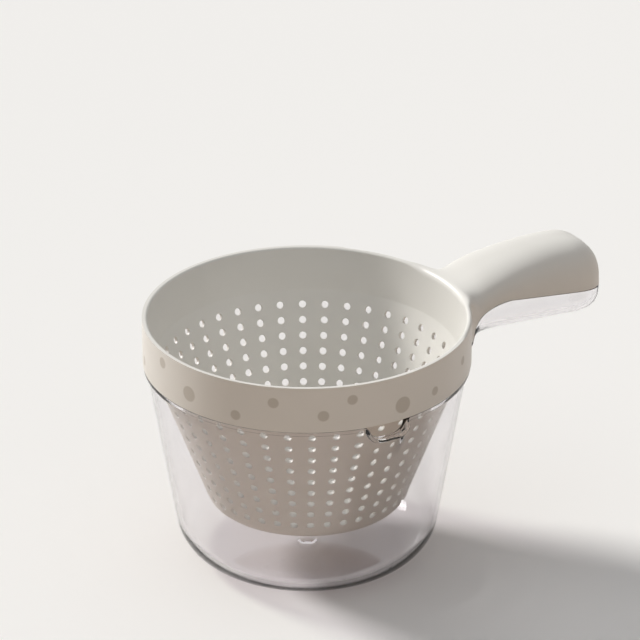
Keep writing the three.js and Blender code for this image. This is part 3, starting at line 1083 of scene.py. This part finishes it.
def add_node(tree: Tree, kind: str, inputs: dict[str | int, object],
             **settings: object) -> bpy.types.Node:
    """Adds a node to a tree.

    Args:
        tree: The tree.
        kind: Type of the node.
        inputs: What feeds its inputs, by their names or numbers.
        settings: Its other settings, which are made first.

    Returns:
        The node.
    """
    made = tree.nodes.new(kind)
    for key, value in settings.items():
        setattr(made, key, value)
    for key, value in inputs.items():
        feed(tree, made.inputs[key], value)
    return made


def blend(tree: Tree, share: object, first: object, second: object) -> Socket:
    """Returns a colour mixed from two by a share."""
    inputs = {"Factor": share, "A": first, "B": second}
    return add_node(tree, "ShaderNodeMix", inputs, data_type="RGBA").outputs["Result"]


def tell_rays(tree: Tree, lighting: object, shown: object) -> Socket:
    """Gives the surroundings one colour as they are seen, also in and through the plastic, and one as light.

    Args:
        tree: The tree of the floor's material or of the world.
        lighting: Colour, or socket, for light that reaches the part.
        shown: Colour for what the eye sees.

    Returns:
        The socket of the colour.
    """
    ray = tree.nodes.new("ShaderNodeLightPath").outputs
    seen = ray["Is Camera Ray"]
    steps = (("MAXIMUM", "Is Glossy Ray"), ("MAXIMUM", "Is Transmission Ray"), ("SUBTRACT", "Diffuse Depth"))
    for operation, kind in steps:
        inputs = {0: seen, 1: ray[kind]}
        seen = add_node(tree, "ShaderNodeMath", inputs, operation=operation, use_clamp=True).outputs[0]
    return blend(tree, seen, lighting, shown)


class NodeGroup:
    """A shader node group with named inputs and outputs, built once."""

    def __init__(self, name: str, inputs: dict[str, float], outputs: Sequence[str]) -> None:
        """Makes an empty group.

        Args:
            name: Name of the group.
            inputs: Number inputs and their starting values. A Position input is always there.
            outputs: Number outputs.
        """
        self.tree = bpy.data.node_groups.new(name, "ShaderNodeTree")
        sockets = self.tree.interface
        sockets.new_socket("Position", in_out="INPUT", socket_type="NodeSocketVector")
        for key, value in inputs.items():
            socket = sockets.new_socket(key, in_out="INPUT", socket_type="NodeSocketFloat")
            socket.default_value = value
        for key in outputs:
            sockets.new_socket(key, in_out="OUTPUT", socket_type="NodeSocketFloat")
        self.inputs = self.tree.nodes.new("NodeGroupInput").outputs
        self.outputs = self.tree.nodes.new("NodeGroupOutput").inputs

    def math(self, operation: str, first: object, second: object) -> Socket:
        """Returns the result of a maths node."""
        return add_node(self.tree, "ShaderNodeMath", {0: first, 1: second}, operation=operation).outputs[0]

    def noise(self, scale: object, detail: float) -> Socket:
        """Returns the value of a noise texture at the group's position."""
        inputs = {"Vector": self.inputs["Position"], "Scale": scale, "Detail": detail}
        return add_node(self.tree, "ShaderNodeTexNoise", inputs).outputs["Fac"]


@dataclass(frozen=True)
class MouldedGrain:
    """The effect that both plastics share: fine grain from the mould, slow flow waves and light rubbing."""

    grain: float = 2200.0
    grain_detail: float = 3.0
    grain_height: float = 0.35
    grain_polish: float = 0.3
    wave: float = 40.0
    wave_detail: float = 2.0
    rub: float = 4.0
    rub_detail: float = 5.0
    rub_polish: float = 0.7

    def group(self) -> Tree:
        """Builds the node group.

        Returns:
            The group, with outputs Height, Polish and Flow.
        """
        group = NodeGroup("moulded_grain", {"Grain": self.grain, "Wave": self.wave},
                          ("Height", "Polish", "Flow"))
        fine = group.noise(group.inputs["Grain"], self.grain_detail)
        wave = group.noise(group.inputs["Wave"], self.wave_detail)
        rub = group.noise(group.math("MULTIPLY", group.inputs["Wave"], self.rub), self.rub_detail)
        height = group.math("ADD", group.math("MULTIPLY", fine, self.grain_height), wave)
        polish = group.math("ADD", group.math("MULTIPLY", rub, self.rub_polish),
                            group.math("MULTIPLY", fine, self.grain_polish))
        for key, value in (("Height", height), ("Polish", polish), ("Flow", wave)):
            feed(group.tree, group.outputs[key], value)
        return group.tree


@dataclass(frozen=True)
class Dot:
    """One soft round dot on the band: its angle from the camera's side, its height and its diameter."""

    turn: float
    height: float
    diameter: float


@dataclass(frozen=True)
class DotPrint:
    """The scattered dots on the outside of the band."""

    radius: float = 82.0
    softness: float = 0.9
    camera_side: float = -118.8
    dots: tuple[Dot, ...] = (
        Dot(-59.5, 123.5, 5.6),
        Dot(-44.5, 115.0, 8.0),
        Dot(-25.0, 111.5, 5.2),
        Dot(-11.5, 121.0, 5.4),
        Dot(5.5, 114.5, 5.6),
        Dot(15.5, 122.0, 5.2),
        Dot(34.5, 113.5, 8.6),
        Dot(49.5, 113.8, 4.6),
        Dot(69.0, 118.5, 4.6),
        Dot(-79.0, 112.0, 5.0),
        Dot(-97.0, 119.0, 7.6),
        Dot(-114.0, 111.5, 5.4),
        Dot(-129.0, 118.0, 5.0),
        Dot(-147.0, 113.5, 8.2),
        Dot(-163.0, 120.0, 5.4),
        Dot(-178.0, 112.0, 5.6),
        Dot(166.0, 118.5, 7.8),
        Dot(151.0, 112.5, 4.8),
    )

    def group(self) -> Tree:
        """Builds the node group that marks the dots.

        Returns:
            The group, with output Mask.
        """
        group = NodeGroup("dot_print", {}, ("Mask",))
        mask: object = 0.0
        for dot in self.dots:
            plan = polar(math.radians(self.camera_side + dot.turn), self.radius) * MM
            gap = add_node(group.tree, "ShaderNodeVectorMath",
                           {0: group.inputs["Position"], 1: (*plan, dot.height * MM)}, operation="DISTANCE")
            edge = add_node(group.tree, "ShaderNodeMapRange", {
                "Value": gap.outputs["Value"],
                "From Min": (dot.diameter - self.softness) / 2 * MM,
                "From Max": (dot.diameter + self.softness) / 2 * MM,
                "To Min": 1.0,
                "To Max": 0.0,
            }, interpolation_type="SMOOTHSTEP")
            mask = group.math("MAXIMUM", edge.outputs["Result"], mask)
        feed(group.tree, group.outputs["Mask"], mask)
        return group.tree


class Finish:
    """A material under construction: its tree, its shader and its output."""

    NOISE_SPAN: Span = (0.3, 0.7)

    def __init__(self, name: str) -> None:
        """Makes a material with one Principled shader.

        Args:
            name: Name of the material.
        """
        self.material = bpy.data.materials.new(name)
        self.material.use_nodes = True
        self.tree = self.material.node_tree
        self.shader = self.tree.nodes["Principled BSDF"]
        self.output = self.tree.nodes["Material Output"]

    def place(self, group: Tree, **values: float) -> bpy.types.NodeOutputs:
        """Places a group in the material.

        Args:
            group: The group.
            values: Values for its inputs, besides the part's own position.

        Returns:
            The group's outputs.
        """
        position = self.tree.nodes.new("ShaderNodeTexCoord").outputs["Object"]
        inputs = {"Position": position, **values}
        return add_node(self.tree, "ShaderNodeGroup", inputs, node_tree=group).outputs

    def ranged(self, value: Socket, low: float, high: float) -> Socket:
        """Spreads a noise value over a range.

        Args:
            value: The noise.
            low: Result where the noise is weak.
            high: Result where it is strong.

        Returns:
            The spread value.
        """
        least, most = self.NOISE_SPAN
        inputs = {"Value": value, "From Min": least, "From Max": most, "To Min": low, "To Max": high}
        return add_node(self.tree, "ShaderNodeMapRange", inputs).outputs["Result"]

    def feed_shader(self, inputs: dict[str, object]) -> None:
        """Feeds inputs of the shader, by their names."""
        for key, value in inputs.items():
            feed(self.tree, self.shader.inputs[key], value)

    def bump(self, height: Socket, strength: float, distance: float) -> Socket:
        """Returns a normal bumped by a height."""
        inputs = {"Height": height, "Strength": strength, "Distance": distance}
        return add_node(self.tree, "ShaderNodeBump", inputs).outputs["Normal"]


@dataclass(frozen=True)
class WhitePlastic:
    """Warm white satin plastic with soft grey dots on the band."""

    colour: Colour = (0.80, 0.785, 0.745)
    shade: Colour = (0.765, 0.748, 0.705)
    dot_colour: Colour = (0.585, 0.553, 0.5)
    roughness: Span = (0.36, 0.46)
    refraction: float = 1.49
    grain: float = 2600.0
    wave: float = 22.0
    bump_strength: float = 0.12
    bump_distance: float = 0.00012
    prints: DotPrint = DotPrint()

    def material(self, grain: Tree) -> Material:
        """Builds the material.

        Args:
            grain: The shared grain effect.

        Returns:
            The material.
        """
        finish = Finish("white_plastic")
        moulded = finish.place(grain, Grain=self.grain, Wave=self.wave)
        dots = finish.place(self.prints.group())
        tone = blend(finish.tree, finish.ranged(moulded["Flow"], 0.0, 1.0), self.colour, self.shade)
        finish.feed_shader({
            "Base Color": blend(finish.tree, dots["Mask"], tone, self.dot_colour),
            "Roughness": finish.ranged(moulded["Polish"], *self.roughness),
            "IOR": self.refraction,
            "Normal": finish.bump(moulded["Height"], self.bump_strength, self.bump_distance),
        })
        return finish.material


@dataclass(frozen=True)
class ClearPlastic:
    """Clear polished plastic with a faint lilac tint, through which light falls straight."""

    colour: Colour = (0.972, 0.968, 0.972)
    shadow_tint: Colour = (0.95, 0.944, 0.948)
    body_tint: Colour = (0.62, 0.575, 0.65)
    body_density: float = 30.0
    roughness: Span = (0.012, 0.05)
    refraction: float = 1.49
    grain: float = 900.0
    wave: float = 26.0
    bump_strength: float = 0.05
    bump_distance: float = 0.0008

    def material(self, grain: Tree) -> Material:
        """Builds the material.

        Args:
            grain: The shared grain effect.

        Returns:
            The material.
        """
        finish = Finish("clear_plastic")
        tree = finish.tree
        moulded = finish.place(grain, Grain=self.grain, Wave=self.wave)
        finish.feed_shader({
            "Base Color": self.colour,
            "Transmission Weight": 1.0,
            "IOR": self.refraction,
            "Roughness": finish.ranged(moulded["Polish"], *self.roughness),
            "Normal": finish.bump(moulded["Flow"], self.bump_strength, self.bump_distance),
        })
        clear = add_node(tree, "ShaderNodeBsdfTransparent", {"Color": self.shadow_tint})
        ray = tree.nodes.new("ShaderNodeLightPath").outputs
        inputs = {0: ray["Is Shadow Ray"], 1: ray["Is Diffuse Ray"]}
        light = add_node(tree, "ShaderNodeMath", inputs, operation="MAXIMUM")
        inputs = {0: light.outputs[0], 1: finish.shader.outputs["BSDF"], 2: clear.outputs["BSDF"]}
        surface = add_node(tree, "ShaderNodeMixShader", inputs)
        inputs = {"Color": self.body_tint, "Density": self.body_density}
        body = add_node(tree, "ShaderNodeVolumeAbsorption", inputs)
        feed(tree, finish.output.inputs["Surface"], surface.outputs["Shader"])
        feed(tree, finish.output.inputs["Volume"], body.outputs["Volume"])
        return finish.material


@dataclass(frozen=True)
class Lamp:
    """One light, placed by metres to the right, ahead and up from the part as the camera sees it.

    Its softness is an angle for a distant light and a width for a panel.
    """

    name: str
    kind: LampKind
    energy: float
    softness: float
    colour: Colour
    place: Place

    def make(self) -> Object:
        """Makes the light.

        Returns:
            The new object, in the scene but not yet in its place.
        """
        data = bpy.data.lights.new(self.name, self.kind.value)
        data.energy = self.energy
        data.color = self.colour
        if self.kind is LampKind.DISTANT:
            data.angle = self.softness
        else:
            data.size = self.softness
        return put(self.name, data)


@dataclass
class Studio:
    """Camera, floor, soft lights and sky, in metres."""

    image: int = 640
    sensor: float = 36.0
    focal_pixels: float = 4488.6
    elevation: float = math.radians(27.33)
    turn: float = math.radians(28.8)
    distance: float = 2.259
    clip_end: float = 50.0
    axis_height: float = 0.06
    axis_pixel: tuple[float, float] = (307.0, 439.0)
    floor_half: float = 6.0
    floor_drop: float = 0.0003
    floor_colour: Colour = (0.945, 0.935, 0.917)
    floor_bounce: Colour = (0.61, 0.49, 0.395)
    backdrop: Colour = (0.855, 0.845, 0.825)
    horizon: Colour = (0.166, 0.15, 0.136)
    zenith: Colour = (0.437, 0.442, 0.451)
    sky_span: Span = (0.05, 0.75)
    lamp_target: Place = (0.03, 0.0, 0.07)
    lamps: tuple[Lamp, ...] = (
        Lamp("key", LampKind.DISTANT, 3.0, math.radians(14), (1.0, 0.985, 0.96), (-2.05, 1.3, 1.72)),
        Lamp("fill", LampKind.PANEL, 1.2, 1.4, (1.0, 0.95, 0.9), (1.2, -1.0, 1.1)),
    )

    def __post_init__(self) -> None:
        """Finds the camera's level directions."""
        self.right = Vector((math.cos(self.turn), -math.sin(self.turn), 0.0))
        self.level = Vector((math.sin(self.turn), math.cos(self.turn), 0.0))

    @staticmethod
    def face(looker: Object, aim: Vector) -> None:
        """Turns a camera or a light to look along a direction."""
        looker.rotation_mode = "QUATERNION"
        looker.rotation_quaternion = aim.to_track_quat("-Z", "Y")

    def camera(self) -> None:
        """Places the camera at the photograph's viewing angle, so that the part fills the frame as there."""
        data = bpy.data.cameras.new("camera")
        data.sensor_width = self.sensor
        data.lens = self.sensor * self.focal_pixels / self.image
        data.clip_end = self.clip_end
        eye = put("camera", data)
        ahead = self.level * math.cos(self.elevation) - Vector((0, 0, math.sin(self.elevation)))
        up = self.right.cross(ahead)
        eye.location = Vector((0, 0, self.axis_height)) - ahead * self.distance
        half = self.image / 2
        aim = ahead + self.right * ((half - self.axis_pixel[0]) / self.focal_pixels)
        self.face(eye, aim + up * ((self.axis_pixel[1] - half) / self.focal_pixels))
        bpy.context.scene.camera = eye

    def floor(self) -> None:
        """Lays a plain pale floor, which isn't part of the object and throws less light than it shows."""
        mesh = bpy.data.meshes.new("floor")
        side = self.floor_half
        corners = [(-side, -side, 0.0), (side, -side, 0.0), (side, side, 0.0), (-side, side, 0.0)]
        mesh.from_pydata(corners, [], [(0, 1, 2, 3)])
        floor = put("floor", mesh)
        floor.location.z = -self.floor_drop
        finish = Finish("floor")
        finish.feed_shader({
            "Base Color": tell_rays(finish.tree, self.floor_bounce, self.floor_colour),
            "Roughness": 1.0,
            "Specular IOR Level": 0.0,
        })
        mesh.materials.append(finish.material)

    def sky(self) -> None:
        """Sets an even sky, brighter overhead than at the horizon, behind a pale backdrop."""
        world = bpy.data.worlds.new("sky")
        world.use_nodes = True
        bpy.context.scene.world = world
        tree = world.node_tree
        place = tree.nodes.new("ShaderNodeTexCoord").outputs["Generated"]
        height = add_node(tree, "ShaderNodeSeparateXYZ", {"Vector": place}).outputs["Z"]
        ramp = add_node(tree, "ShaderNodeValToRGB", {"Fac": height})
        for stop, spot, colour in zip(ramp.color_ramp.elements, self.sky_span, (self.horizon, self.zenith)):
            stop.position = spot
            stop.color = (*colour, 1.0)
        colour = tell_rays(tree, ramp.outputs["Color"], self.backdrop)
        feed(tree, tree.nodes["Background"].inputs["Color"], colour)

    def lights(self) -> None:
        """Sets a soft key light from far behind on the left, and a weak fill from the front on the right."""
        for lamp in self.lamps:
            light = lamp.make()
            right, ahead, up = lamp.place
            light.location = self.right * right + self.level * ahead + Vector((0, 0, up))
            self.face(light, Vector(self.lamp_target) - light.location)

    def build(self) -> None:
        """Sets up everything round the part."""
        self.camera()
        self.floor()
        self.sky()
        self.lights()
        bpy.context.scene.view_settings.view_transform = "Standard"


def dress(piece: Object, material: Material, body: str, node: str) -> None:
    """Gives a piece its material and its body, and hides the CAD part of the node that it stands for.

    Args:
        piece: The piece.
        material: Its material.
        body: The body that it rides on.
        node: The node that it stands for.
    """
    piece.data.materials.append(material)
    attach(piece, body)
    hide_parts(node)
    log.info("%s: %d faces on body %s", piece.name, len(piece.data.polygons), body)


def main() -> None:
    """Builds the studio, then the bowl and the colander."""
    logging.basicConfig(level=logging.INFO, format="%(message)s")
    Studio().build()
    handle = HandlePlan()
    grain = MouldedGrain().group()
    dress(ClearBowl(handle).build(), ClearPlastic().material(grain), "bowl", "clear_bowl")
    dress(Colander(handle).build(), WhitePlastic().material(grain), "colander", "colander")


if __name__ == "__main__":
    main()
